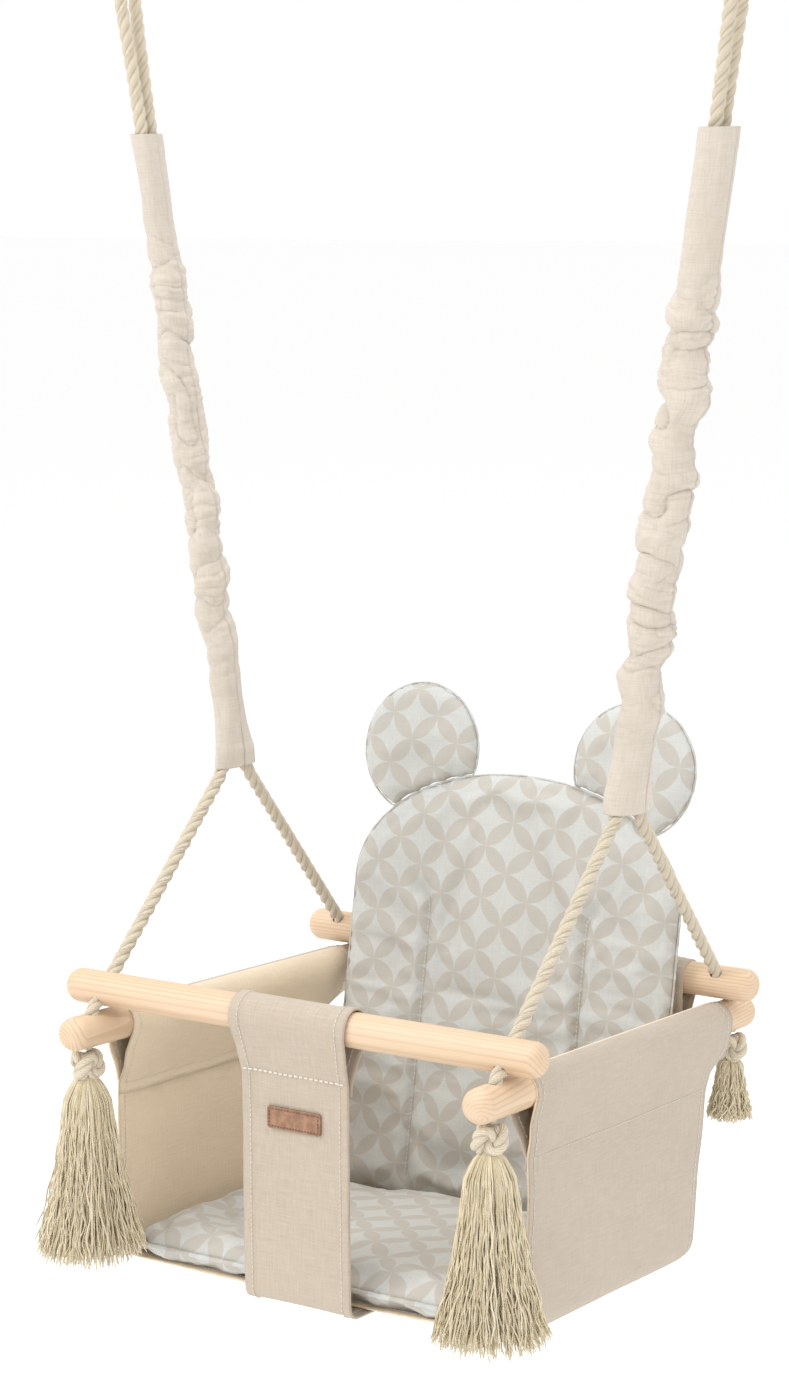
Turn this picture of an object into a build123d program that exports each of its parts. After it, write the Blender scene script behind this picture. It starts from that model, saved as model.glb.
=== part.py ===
"""Toddler bucket swing: four wooden rods, a canvas seat with a padded cushion, two ropes and their tassels.

Millimetres, +Z up. The origin is the middle of the swing axis, the line along X through both hanging rings.
The seat is drawn level in a frame of its own, whose origin is midway between the front and back rods, and is
then hung: leaned back by RECLINE and lowered until the ropes' crossing points lie HANG_DROP under the axis.
"""

from build123d import *
import os
from math import asin, atan2, degrees, hypot, radians, sqrt, tan

os.makedirs("parts", exist_ok=True)

# Rods
ROD_LENGTH = 400.0
ROD_DIAMETER = 25.0
ROD_END_ROUNDING = 10.0
ROD_GAP = 3.0  # between two rods that cross, with the side tunnel's canvas in it
SIDE_ROD_INSET = 30.0  # of a side rod's axis from the ends of the front and back rods
CROSS_ROD_INSET = 43.0  # of the front or back rod's axis from the ends of the side rods

# Ropes
ROPE_DIAMETER = 9.0
ROPE_HOLE_CLEARANCE = 0.5  # round the rope, in a drilled hole
ENTRY_HEIGHT = 8.0  # of the rope's turn into a side rod, above that rod's axis
ENTRY_BEND = 1.0  # radius of that turn, in rope diameters: it goes round the hole's worn edge
MERGE_HEIGHT = 160.0  # of the point where a side's two rope legs would cross, above the front rod's axis
MERGE_RADIUS = 30.0
LEG_GAP = 1.0  # between a side's two legs, in the sleeve
HANG_DROP = 600.0  # from the swing axis down to the crossing points
ROPE_LEAN = 0.15  # outwards along X for each unit of height above the crossing points
RECLINE = 4.0  # degrees that the empty seat leans back as it hangs

# Hanging rings
RING_WIRE_DIAMETER = 6.0
RING_MEAN_DIAMETER = 34.0
RING_CLEARANCE = 0.7  # between a ring's wire and the rope bent over it

# Rope sleeves
SLEEVE_DROP = 12.0  # of the sleeve's lower mouth, under the crossing point
SLEEVE_TOP_DROP = 138.0  # of the sleeve's upper mouth, under the swing axis
SLEEVE_NECK_HEIGHT = 52.0  # over which the flat lower mouth becomes the round tube
SLEEVE_CLOTH = 2.5
MOUTH_ROOM = 2.1  # round the rope legs, in the flat lower mouth
TUBE_ROOM_X = 4.5  # round the rope legs, in the tube above it
TUBE_ROOM_Y = 3.0

# Canvas
CLOTH = 2.0
CLOTH_GAP = 0.4  # between canvas and what it lies on
SEAT_DEPTH_BELOW = 206.0  # from the front rod's axis down to the seat canvas's middle
WALL_OUTSET = 5.0  # of a side wall from its rod's axis
SEAT_CORNER_RADIUS = 18.0
SIDE_SEAM_DROP = 48.0  # of the side tunnel's seam, under its rod's axis
TUNNEL_EDGE_DROP = 50.0  # under the front rod's axis, where a wall starts to narrow
WALL_KINK_DROP = 62.0
TUNNEL_FRONT_INSET = 19.0  # these insets are from the front or back rod's axis, along Y
TUNNEL_REAR_INSET = 5.0
WALL_KINK_FRONT_INSET = 23.0
WALL_KINK_REAR_INSET = 27.0
SEAT_FRONT_INSET = 31.0
SEAT_REAR_INSET = 44.0
BACK_SIDE_ROOM = 29.0  # from the back panel's and back pad's edges to a side wall
PANEL_SEAM_DROP = 50.0
PANEL_OUTSET = 5.0  # of the back panel behind the seat's rear edge
STRAP_WIDTH = 90.0
STRAP_SEAM_DROP = 40.0
STRAP_SEAM_OUTSET = 1.0
STRAP_ROOM = 15.0  # of the strap's foot in front of the seat pad
HEM_LENGTH = 42.0  # of the panel's and the strap's foot, sewn under the seat
FOOT_CORNER_RADIUS = 8.0

# Leather patch on the strap
PATCH_WIDTH = 45.0
PATCH_HEIGHT = 16.0
PATCH_THICKNESS = 1.5
PATCH_DROP = 71.0  # of the patch's middle, under the front rod's axis
PATCH_CORNER_RADIUS = 2.0

# Cushions
SEAT_PAD_SIDE_ROOM = 5.0  # to a side wall
SEAT_PAD_OVERHANG = 7.0  # in front of the seat's front edge
SEAT_PAD_THICKNESS = 26.0
SEAT_PAD_ROUNDING = 12.0
SEAT_PAD_CORNER_RADIUS = 30.0
FOLD_INSET = 7.0  # of the fold between the two pads, in front of the seat's rear edge
FOLD_RISE = 18.0  # of the fold above the seat canvas's middle
FOLD_ROOM = 6.0  # between the two pads at the fold
BACK_PAD_THICKNESS = 24.0
BACK_PAD_ROUNDING = 10.0
BACK_PAD_SHOULDER = 240.0  # up the pad from the fold to where its rounded top starts
BACK_PAD_ARCH = 91.0
EAR_RADIUS = 52.0
EAR_HALF_SPACING = 95.0
EAR_RISE = 35.0  # of an ear's centre above the pad's arched edge
EAR_THICKNESS = 20.0
EAR_ROUNDING = 8.0
SEWN_GAP = 0.3  # between two pieces sewn edge to edge

# Knots and tassels
KNOT_RADIUS = 13.0
FRONT_TASSEL_LENGTH = 140.0
FRONT_TASSEL_NECK_RADIUS = 15.0
FRONT_TASSEL_BELLY_RADIUS = 30.0
FRONT_TASSEL_END_RADIUS = 36.0
REAR_TASSEL_LENGTH = 56.0
REAR_TASSEL_NECK_RADIUS = 8.0
REAR_TASSEL_BELLY_RADIUS = 12.0
REAR_TASSEL_END_RADIUS = 17.0

half_width = ROD_LENGTH / 2 - SIDE_ROD_INSET
half_depth = ROD_LENGTH / 2 - CROSS_ROD_INSET
rod_radius = ROD_DIAMETER / 2
rope_radius = ROPE_DIAMETER / 2
hole_radius = rope_radius + ROPE_HOLE_CLEARANCE
side_rod_z = -(ROD_DIAMETER + ROD_GAP)
leg_slope = half_depth / MERGE_HEIGHT
leg_spread = rope_radius + LEG_GAP / 2
entry_z = side_rod_z + ENTRY_HEIGHT
entry_y = half_depth - entry_z * leg_slope
knot_top_z = side_rod_z - rod_radius - CLOTH_GAP
knot_flat_drop = sqrt(KNOT_RADIUS**2 - hole_radius**2)
knot_z = knot_top_z - knot_flat_drop
loop_inner = rod_radius + CLOTH_GAP
loop_outer = loop_inner + CLOTH
wall_x = half_width + WALL_OUTSET
wall_face = wall_x - CLOTH / 2
seat_z = -SEAT_DEPTH_BELOW
foot_z = seat_z - CLOTH - CLOTH_GAP
seat_front = SEAT_FRONT_INSET - half_depth
seat_rear = half_depth - SEAT_REAR_INSET
back_half_width = wall_face - BACK_SIDE_ROOM
strap_seam_y = -(half_depth + STRAP_SEAM_OUTSET)
seat_pad_front = seat_front - SEAT_PAD_OVERHANG
strap_foot_y = seat_pad_front - STRAP_ROOM
fold_y = seat_rear - FOLD_INSET
fold_z = seat_z + FOLD_RISE
seat_pad_rear = fold_y - BACK_PAD_THICKNESS / 2 - FOLD_ROOM
rod_from_fold = hypot(half_depth - fold_y, fold_z)
rod_to_pad_middle = loop_outer + CLOTH_GAP + BACK_PAD_THICKNESS / 2
back_pad_lean = degrees(atan2(half_depth - fold_y, -fold_z) - asin(rod_to_pad_middle / rod_from_fold))
ear_height = BACK_PAD_SHOULDER + BACK_PAD_ARCH * sqrt(1 - (EAR_HALF_SPACING / back_half_width) ** 2) + EAR_RISE
ring_radius = RING_MEAN_DIAMETER / 2
bend_radius = RING_WIRE_DIAMETER / 2 + RING_CLEARANCE + rope_radius
lean_angle = degrees(atan2(ROPE_LEAN, 1))
ring_x = half_width + HANG_DROP * ROPE_LEAN

# The seat's place as it hangs, and the leaning plane of the back pad, whose origin is the fold
hung = Pos(0, 0, -HANG_DROP) * Rot(-RECLINE, 0, 0) * Pos(0, 0, -MERGE_HEIGHT)
back_pad_place = hung * Pos(0, fold_y, fold_z) * Rot(-back_pad_lean, 0, 0)


def write(shape, node):
    """Writes one sub-part under its node's name."""
    shape.label = node
    export_step(shape, f"parts/{node}.step")


def hung_point(x, y, z):
    """The hung position of a point of the level seat."""
    return (hung * Pos(x, y, z)).position


# Rods


def plain_rod():
    """A rod along Z with rounded ends."""
    rod = Cylinder(rod_radius, ROD_LENGTH)
    return fillet(rod.edges().filter_by(GeomType.CIRCLE), ROD_END_ROUNDING)


def slanted_hole(x, y, z, side):
    """A drilled hole along a rope leg, through the point given. side is -1 for the front legs, 1 for the rear."""
    leg = Vector(0, -side * half_depth, MERGE_HEIGHT)
    return Plane(origin=(x, y, z), z_dir=leg) * Cylinder(hole_radius, 3 * ROD_DIAMETER)


def cross_rod(side):
    """The front or back rod, with the two rope holes along the legs."""
    rod = Rot(0, 90, 0) * plain_rod()
    for x in (-half_width, half_width):
        rod -= slanted_hole(x, 0, 0, side)
    return hung * Pos(0, side * half_depth, 0) * rod


def side_rod(hand):
    """A side rod, whose upright rope holes have mouths worn along the legs."""
    rod = Rot(90, 0, 0) * plain_rod()
    for side in (-1, 1):
        y = side * entry_y
        below = Pos(0, y, ENTRY_HEIGHT) * Cylinder(
            hole_radius, 2 * ROD_DIAMETER, align=(Align.CENTER, Align.CENTER, Align.MAX)
        )
        leg = Vector(0, -side * half_depth, MERGE_HEIGHT)
        mouth = Plane(origin=(0, y, ENTRY_HEIGHT), z_dir=leg) * Cylinder(
            hole_radius, ROD_DIAMETER, align=(Align.CENTER, Align.CENTER, Align.MIN)
        )
        rod -= below + mouth + Pos(0, y, ENTRY_HEIGHT) * Sphere(hole_radius)
    return hung * Pos(hand * half_width, 0, side_rod_z) * rod


# Ropes and what hangs them


def rope_points(hand):
    """The route of one side's rope, from the front knot over the ring and down to the rear knot."""
    x = hand * half_width
    crossing = Vector(x, 0, -HANG_DROP)
    sleeve_top = crossing + Vector(hand * ROPE_LEAN, 0, 1) * (HANG_DROP - SLEEVE_TOP_DROP)
    up = Vector(hand * ROPE_LEAN, 0, 1).normalized()
    crown = Vector(hand * ring_x, 0, 0) + up * bend_radius
    legs = []
    for side in (-1, 1):
        entry = hung_point(x, side * entry_y, entry_z)
        along = (crossing - entry).normalized()
        merge = crossing - along * (leg_spread / abs(along.Y))
        legs.append(
            [
                hung_point(x, side * entry_y, knot_top_z),
                entry,
                merge,
                sleeve_top + Vector(0, side * leg_spread, 0),
                crown + Vector(0, side * bend_radius, 0),
            ]
        )
    front, rear = legs
    return front + rear[::-1]


def rope_radii(points):
    """The arc radius at each inner point: the entry, the merge, the sleeve's top and the ring, both ways."""
    sleeve_turn = (points[3] - points[2]).get_angle(points[4] - points[3])
    sleeve_run = (points[4] - points[3]).length
    sleeve_radius = 0.45 * sleeve_run / tan(radians(sleeve_turn / 2))
    ring_bend = 0.98 * bend_radius
    one_way = [ENTRY_BEND * ROPE_DIAMETER, MERGE_RADIUS, sleeve_radius, ring_bend]
    return one_way + one_way[::-1]


def rope(hand):
    """One side's rope as a plain tube."""
    points = rope_points(hand)
    radii = rope_radii(points)
    path = FilletPolyline(points, radius=radii)
    profile = Plane(origin=path @ 0, z_dir=path % 0) * Circle(rope_radius)
    tube = sweep(profile, path=path.wire())
    print("rope radii", [round(r, 1) for r in radii], "length", round(path.length, 1))
    print("rope volume over section times length", round(tube.volume / (profile.area * path.length), 4))
    return tube


def hanging_ring(hand):
    """A welded ring in the XZ plane, its lowest wire on the swing axis."""
    ring = Rot(90, 0, 0) * Torus(ring_radius, RING_WIRE_DIAMETER / 2)
    return Pos(hand * ring_x, 0, 0) * Rot(0, hand * lean_angle, 0) * Pos(0, 0, ring_radius) * ring


def sleeve_skin(hand, grow):
    """The sleeve's outline, grown outwards: a flat lower mouth that narrows into a leaning tube."""
    mouth_z = -HANG_DROP - SLEEVE_DROP
    neck_z = mouth_z + SLEEVE_NECK_HEIGHT
    front_leg = hung_point(0, 0, MERGE_HEIGHT) - hung_point(0, -half_depth, 0)
    front_slope = front_leg.Y / front_leg.Z
    mouth_half_y = SLEEVE_DROP * front_slope + rope_radius * hypot(1, front_slope) + MOUTH_ROOM
    tube_half_x = rope_radius + TUBE_ROOM_X
    tube_half_y = leg_spread + rope_radius + TUBE_ROOM_Y
    stations = [
        (mouth_z, 0.0, rope_radius + MOUTH_ROOM, mouth_half_y),
        (neck_z, neck_z + HANG_DROP, tube_half_x, tube_half_y),
        (-SLEEVE_TOP_DROP, HANG_DROP - SLEEVE_TOP_DROP, tube_half_x, tube_half_y),
    ]
    sections = [
        Pos(hand * (half_width + rise * ROPE_LEAN), 0, z) * Ellipse(half_x + grow, half_y + grow)
        for z, rise, half_x, half_y in stations
    ]
    return loft(sections[:2], ruled=True) + loft(sections[1:], ruled=True)


def rope_sleeve(hand):
    """The canvas sleeve over one side's two legs."""
    return sleeve_skin(hand, SLEEVE_CLOTH) - sleeve_skin(hand, 0.0)


# Canvas


def tunnel(centre, seam):
    """The section of a cloth loop round a rod at centre, closed by a seam: drawn flat, in the rod's cross plane."""
    outer = make_hull([*(Pos(*centre) * Circle(loop_outer)).edges(), *(Pos(*seam) * Circle(CLOTH / 2)).edges()])
    inward = Vector(centre[0] - seam[0], centre[1] - seam[1]).normalized() * (3 * CLOTH)
    apex = (seam[0] + inward.X, seam[1] + inward.Y)
    inner = make_hull([*(Pos(*centre) * Circle(loop_inner)).edges(), *(Pos(*apex) * Circle(CLOTH / 8)).edges()])
    return outer - inner


def side_sling():
    """The U of canvas that makes both side walls and the seat, with a tunnel round each side rod."""
    seam_z = side_rod_z - SIDE_SEAM_DROP
    corners = [(-wall_x, seam_z), (-wall_x, seat_z), (wall_x, seat_z), (wall_x, seam_z)]
    section = trace(FilletPolyline(corners, radius=SEAT_CORNER_RADIUS), CLOTH)
    for hand in (-1, 1):
        section += tunnel((hand * half_width, side_rod_z), (hand * wall_x, seam_z))
    cloth = extrude(Plane.XZ * section, ROD_LENGTH / 2, both=True)
    top = side_rod_z + ROD_DIAMETER
    bottom = seat_z - CLOTH
    outline = Polygon(
        (TUNNEL_FRONT_INSET - half_depth, top),
        (TUNNEL_FRONT_INSET - half_depth, -TUNNEL_EDGE_DROP),
        (WALL_KINK_FRONT_INSET - half_depth, -WALL_KINK_DROP),
        (seat_front, bottom),
        (seat_rear, bottom),
        (half_depth - WALL_KINK_REAR_INSET, -WALL_KINK_DROP),
        (half_depth - TUNNEL_REAR_INSET, -TUNNEL_EDGE_DROP),
        (half_depth - TUNNEL_REAR_INSET, top),
        align=None,
    )
    return hung * (cloth & extrude(Plane.YZ * outline, ROD_LENGTH, both=True))


def hung_band(side, seam_y, seam_drop, foot_y, reach):
    """A band of canvas from a tunnel round the front or back rod down to a foot sewn under the seat."""
    centre = (side * half_depth, 0)
    seam = (seam_y, -seam_drop)
    line = FilletPolyline(seam, (foot_y, foot_z), (foot_y - side * HEM_LENGTH, foot_z), radius=FOOT_CORNER_RADIUS)
    section = trace(line, CLOTH) + tunnel(centre, seam)
    return extrude(Plane.YZ * section, reach, both=True)


def back_panel():
    """The canvas behind the back pad, from the back rod down to the seat's rear edge."""
    foot_y = seat_rear + PANEL_OUTSET
    seam_y = foot_y + (half_depth - foot_y) * (1 + PANEL_SEAM_DROP / foot_z)
    return hung * hung_band(1, seam_y, PANEL_SEAM_DROP, foot_y, back_half_width)


def crotch_strap():
    """The strap between the child's legs, from the front rod down to the seat's front edge."""
    return hung * hung_band(-1, strap_seam_y, STRAP_SEAM_DROP, strap_foot_y, STRAP_WIDTH / 2)


def leather_patch():
    """A blank patch sewn on the strap's front."""
    slope = (strap_foot_y - strap_seam_y) / (-foot_z - STRAP_SEAM_DROP)
    middle_y = strap_seam_y + slope * (PATCH_DROP - STRAP_SEAM_DROP)
    patch = extrude(RectangleRounded(PATCH_WIDTH, PATCH_HEIGHT, PATCH_CORNER_RADIUS), PATCH_THICKNESS)
    lean = degrees(atan2(slope, 1))
    place = Pos(0, middle_y, -PATCH_DROP) * Rot(lean, 0, 0) * Rot(90, 0, 0) * Pos(0, 0, CLOTH / 2 + SEWN_GAP)
    return hung * place * patch


# Cushions


def seat_pad():
    """The seat cushion, lying on the canvas."""
    width = 2 * (wall_face - SEAT_PAD_SIDE_ROOM)
    depth = seat_pad_rear - seat_pad_front
    slab = extrude(RectangleRounded(width, depth, SEAT_PAD_CORNER_RADIUS), SEAT_PAD_THICKNESS)
    rims = slab.faces().sort_by(Axis.Z)[0].edges() + slab.faces().sort_by(Axis.Z)[-1].edges()
    slab = fillet(rims, SEAT_PAD_ROUNDING)
    base_z = seat_z + CLOTH / 2 + CLOTH_GAP
    return hung * Pos(0, (seat_pad_front + seat_pad_rear) / 2, base_z) * slab


def back_outline(grow):
    """The back pad's outline seen from the front, grown outwards: upright sides from the fold, and an arched top."""
    half = back_half_width + grow
    foot = -BACK_PAD_THICKNESS / 2
    sides = Polygon((-half, foot), (half, foot), (half, BACK_PAD_SHOULDER), (-half, BACK_PAD_SHOULDER), align=None)
    return sides + Pos(0, BACK_PAD_SHOULDER) * Ellipse(half, BACK_PAD_ARCH + grow)


def in_pad_plane(sketch, thickness):
    """Extrudes a flat outline to both sides of the back pad's middle plane."""
    return extrude(Plane.XZ * sketch, thickness / 2, both=True)


def rounded_rims(pad, radius):
    """Rounds the outlines of a pad's front and back faces."""
    flats = pad.faces().filter_by(Axis.Y)
    return fillet(flats.edges(), radius)


def back_pad():
    """The back cushion, leaning on the back rod."""
    return back_pad_place * rounded_rims(in_pad_plane(back_outline(0.0), BACK_PAD_THICKNESS), BACK_PAD_ROUNDING)


def ear(hand):
    """A round ear, sewn to the back pad's top edge."""
    outline = Pos(hand * EAR_HALF_SPACING, ear_height) * Circle(EAR_RADIUS)
    disc = rounded_rims(in_pad_plane(outline, EAR_THICKNESS), EAR_ROUNDING)
    pad_edge = in_pad_plane(back_outline(SEWN_GAP), 2 * BACK_PAD_THICKNESS)
    return back_pad_place * (disc - pad_edge)


# Knots and tassels


def knot(hand, side):
    """The rope's stopper knot under a side rod, flat on top where the rope enters it."""
    ball = Sphere(KNOT_RADIUS)
    ball -= Pos(0, 0, knot_flat_drop) * Box(
        2 * KNOT_RADIUS, 2 * KNOT_RADIUS, KNOT_RADIUS, align=(Align.CENTER, Align.CENTER, Align.MIN)
    )
    return hung * Pos(hand * half_width, side * entry_y, knot_z) * ball


def tassel(hand, side, length, neck, belly, end):
    """A tassel hanging straight down from a knot, with its top cupped round the knot."""
    profile = make_face(
        [
            Line((0, 0), (neck, 0)),
            Spline((neck, 0), (belly, -length / 2), (end, -length)),
            Line((end, -length), (0, -length)),
            Line((0, -length), (0, 0)),
        ]
    )
    skirt = revolve(Plane.XZ * profile, Axis.Z) - Sphere(KNOT_RADIUS + CLOTH_GAP)
    return Pos(*hung_point(hand * half_width, side * entry_y, knot_z)) * skirt


write(cross_rod(-1), "front_rod")
write(cross_rod(1), "back_rod")
write(side_sling(), "side_sling")
write(back_panel(), "back_panel")
write(crotch_strap(), "crotch_strap")
write(leather_patch(), "strap_patch")
write(seat_pad(), "seat_cushion")
write(back_pad(), "back_cushion")
for hand, name in ((-1, "left"), (1, "right")):
    write(side_rod(hand), f"{name}_side_rod")
    write(rope(hand), f"{name}_rope")
    write(hanging_ring(hand), f"{name}_hanging_ring")
    write(rope_sleeve(hand), f"{name}_rope_sleeve")
    write(ear(hand), f"{name}_ear")
    write(knot(hand, -1), f"front_{name}_knot")
    write(knot(hand, 1), f"rear_{name}_knot")
    write(
        tassel(
            hand,
            -1,
            FRONT_TASSEL_LENGTH,
            FRONT_TASSEL_NECK_RADIUS,
            FRONT_TASSEL_BELLY_RADIUS,
            FRONT_TASSEL_END_RADIUS,
        ),
        f"front_{name}_tassel",
    )
    write(
        tassel(
            hand,
            1,
            REAR_TASSEL_LENGTH,
            REAR_TASSEL_NECK_RADIUS,
            REAR_TASSEL_BELLY_RADIUS,
            REAR_TASSEL_END_RADIUS,
        ),
        f"rear_{name}_tassel",
    )

print("merge to knot leg, seat frame", round(hypot(entry_y, MERGE_HEIGHT - entry_z), 1))
print("fold, hung", hung_point(0, fold_y, fold_z), "back pad lean", round(back_pad_lean, 3))
print("leg direction, hung", hung_point(0, 0, MERGE_HEIGHT) - hung_point(0, -half_depth, 0))
print("front knot, hung", hung_point(half_width, -entry_y, knot_z))
print("rear knot, hung", hung_point(half_width, entry_y, knot_z))
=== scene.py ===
"""Looks of the toddler bucket swing: ropes, canvas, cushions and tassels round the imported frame. Metres."""

import math
import random

import bpy
import numpy as np
from mathutils import Matrix, Vector, noise
from mathutils.geometry import delaunay_2d_cdt


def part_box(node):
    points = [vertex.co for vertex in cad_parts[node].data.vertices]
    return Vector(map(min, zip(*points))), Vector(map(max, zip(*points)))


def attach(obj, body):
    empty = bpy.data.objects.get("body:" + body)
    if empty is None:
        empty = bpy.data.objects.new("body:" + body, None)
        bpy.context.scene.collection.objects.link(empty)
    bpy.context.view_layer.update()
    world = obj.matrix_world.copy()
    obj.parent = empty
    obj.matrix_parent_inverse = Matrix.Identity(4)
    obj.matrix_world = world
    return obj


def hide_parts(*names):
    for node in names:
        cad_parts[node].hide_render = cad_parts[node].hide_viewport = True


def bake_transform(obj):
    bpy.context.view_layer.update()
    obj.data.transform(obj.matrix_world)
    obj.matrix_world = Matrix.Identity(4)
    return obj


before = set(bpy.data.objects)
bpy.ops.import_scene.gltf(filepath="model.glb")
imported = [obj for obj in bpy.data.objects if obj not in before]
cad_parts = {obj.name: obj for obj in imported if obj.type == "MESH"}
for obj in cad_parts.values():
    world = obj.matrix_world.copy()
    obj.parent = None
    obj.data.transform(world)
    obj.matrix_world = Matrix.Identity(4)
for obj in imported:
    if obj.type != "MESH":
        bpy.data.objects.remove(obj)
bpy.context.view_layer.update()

# Sizes that the frame was built from, in metres. Heights count from the front rod's centre, before the lean
HANG_DROP = 0.600
MERGE_HEIGHT = 0.160
RECLINE = math.radians(4)
ROPE_LEAN = 0.15
HALF_WIDTH = 0.170
HALF_DEPTH = 0.157
SIDE_ROD_Z = -0.028
ROPE_RADIUS = 0.0045
ENTRY_Z = -0.020
KNOT_TOP_Z = -0.0409
KNOT_Z = -0.052892
ENTRY_Y = HALF_DEPTH - ENTRY_Z * HALF_DEPTH / MERGE_HEIGHT
SLEEVE_DROP = 0.012
SLEEVE_TOP_DROP = 0.138
CLOTH = 0.002
LOOP_RADIUS = 0.0139  # of a cloth loop's middle, round a rod
WALL_X = 0.175
SEAT_Z = -0.206
FOOT_Z = -0.2084
SEAT_FRONT_Y = -0.126
SEAT_REAR_Y = 0.113
SLING_SEAM_DROP = 0.048  # of the tunnel's seam, under the side rod's centre
FOLD_Y = 0.106
FOLD_Z = -0.188
BACK_HALF_WIDTH = 0.145
BACK_SHOULDER = 0.240
BACK_ARCH = 0.091
BACK_PAD_LEAN = math.radians(7.121)
STRAP_TOP_Y = -0.158
STRAP_FOOT_Y = -0.148
STRAP_SEAM_DROP = 0.040
PATCH_DROP = 0.071

# Camera
CAMERA_PLACE = (1.2293, -1.9402, -0.1420)
CAMERA_TURN = (80.187, 0.691, 32.754)
CAMERA_LENS = 83.46
FLOOR_Z = -1.35
FLOOR_REACH = 30.0

# The seat's place as it hangs, and the back cushion's leaning plane, whose origin is the fold
HUNG = (
    Matrix.Translation((0, 0, -HANG_DROP))
    @ Matrix.Rotation(-RECLINE, 4, "X")
    @ Matrix.Translation((0, 0, -MERGE_HEIGHT))
)
PAD_PLACE = HUNG @ Matrix.Translation((0, FOLD_Y, FOLD_Z)) @ Matrix.Rotation(-BACK_PAD_LEAN, 4, "X")


# Camera, lights and floor


def make_camera():
    data = bpy.data.cameras.new("camera")
    data.lens = CAMERA_LENS
    data.sensor_width = 36
    data.clip_start = 0.05
    camera = bpy.data.objects.new("camera", data)
    camera.location = CAMERA_PLACE
    camera.rotation_euler = [math.radians(a) for a in CAMERA_TURN]
    bpy.context.scene.collection.objects.link(camera)
    bpy.context.scene.camera = camera


def area_light(name, place, target, size, power):
    data = bpy.data.lights.new(name, "AREA")
    data.shape = "DISK"
    data.size = size
    data.energy = power
    light = bpy.data.objects.new(name, data)
    light.location = place
    light.rotation_euler = (Vector(target) - Vector(place)).to_track_quat("-Z", "Y").to_euler()
    bpy.context.scene.collection.objects.link(light)


def make_studio():
    middle = (0, 0, -0.75)
    area_light("key", (-1.6, -2.2, 1.4), middle, 1.8, 46)
    area_light("fill", (2.6, -1.4, 0.4), middle, 2.2, 10)
    area_light("top", (0.2, 0.6, 2.2), middle, 2.0, 26)
    world = bpy.data.worlds.new("studio")
    world.use_nodes = True
    world.node_tree.nodes["Background"].inputs["Color"].default_value = (1.0, 1.0, 1.0, 1)
    world.node_tree.nodes["Background"].inputs["Strength"].default_value = 1.0
    bpy.context.scene.world = world
    bpy.context.scene.view_settings.view_transform = "Standard"
    corners = [[(x, y, FLOOR_Z) for x in (-FLOOR_REACH, FLOOR_REACH)] for y in (-FLOOR_REACH, FLOOR_REACH)]
    floor = grid_piece("floor", np.array(corners, float))
    floor.data.materials.append(Nodes("floor", (0.985, 0.985, 0.98), 0.9).material)


# Meshes


def link(name, mesh):
    piece = bpy.data.objects.new(name, mesh)
    bpy.context.scene.collection.objects.link(piece)
    return piece


def mesh_piece(name, points, faces, uv=None):
    """A piece from points and faces. uv gives each point's place on the flat cloth, in metres."""
    mesh = bpy.data.meshes.new(name)
    mesh.from_pydata([tuple(p) for p in points], [], [tuple(int(i) for i in f) for f in faces])
    if uv is not None:
        layer = mesh.uv_layers.new(name="flat")
        corner = np.zeros(len(mesh.loops), np.int32)
        mesh.loops.foreach_get("vertex_index", corner)
        layer.data.foreach_set("uv", np.asarray(uv, np.float32)[corner].ravel())
    mesh.polygons.foreach_set("use_smooth", [True] * len(mesh.polygons))
    mesh.update()
    return link(name, mesh)


def grid_faces(rows, columns, wrap=False, start=0):
    across = columns if wrap else columns - 1
    i, j = np.meshgrid(np.arange(rows - 1), np.arange(across), indexing="ij")
    k = (j + 1) % columns
    below, above = i * columns, (i + 1) * columns
    faces = np.stack([below + j, below + k, above + k, above + j], axis=-1)
    return faces.reshape(-1, 4) + start


def grid_piece(name, points, uv=None, wrap=False):
    rows, columns = points.shape[:2]
    flat_uv = None if uv is None else uv.reshape(-1, 2)
    return mesh_piece(name, points.reshape(-1, 3), grid_faces(rows, columns, wrap), flat_uv)


def finish(piece, slot, *materials, body=None, node=None):
    """Gives a piece its materials, the body that it moves with and the node that it stands for. slot is not
    used.
    """
    for material in materials:
        piece.data.materials.append(material)
    if body:
        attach(piece, body)
    if node:
        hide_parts(node)


def moved(points, place):
    points = np.asarray(points, float)
    turn = np.array(place.to_3x3())
    return points @ turn.T + np.array(place.translation)


def solidify(piece, thickness):
    modifier = piece.modifiers.new("thickness", "SOLIDIFY")
    modifier.thickness = thickness
    modifier.offset = 0.0
    modifier.use_even_offset = True


def flat_map(across, along):
    """The flat map of a grid of points, from one coordinate each way."""
    return np.stack(np.broadcast_arrays(across, along), axis=-1)


def billow(p, seed):
    """Puffy folds with sharp creases between them, from 0 to 1."""
    return abs(noise.noise(Vector(p) + Vector((seed, seed * 1.7, -seed))))


# Tubes along a line


def line_of(points):
    """The points of a smooth spline with these control points, evenly read from a curve with no bevel."""
    curve = bpy.data.curves.new("route", "CURVE")
    curve.dimensions = "3D"
    spline = curve.splines.new("NURBS")
    spline.points.add(len(points) - 1)
    for place, point in zip(points, spline.points):
        point.co = (*place, 1)
    spline.order_u = 3
    spline.use_endpoint_u = True
    curve.resolution_u = 24
    route = bpy.data.objects.new("route", curve)
    mesh = bpy.data.meshes.new_from_object(route)
    line = np.array([v.co for v in mesh.vertices], float)
    bpy.data.meshes.remove(mesh)
    bpy.data.curves.remove(curve)
    return line


def evenly(line, step):
    gaps = np.linalg.norm(np.diff(line, axis=0), axis=1)
    along = np.concatenate([[0], np.cumsum(gaps)])
    at = np.linspace(0, along[-1], max(2, math.ceil(along[-1] / step) + 1))
    return np.stack([np.interp(at, along, line[:, k]) for k in range(3)], axis=1), at


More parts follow.
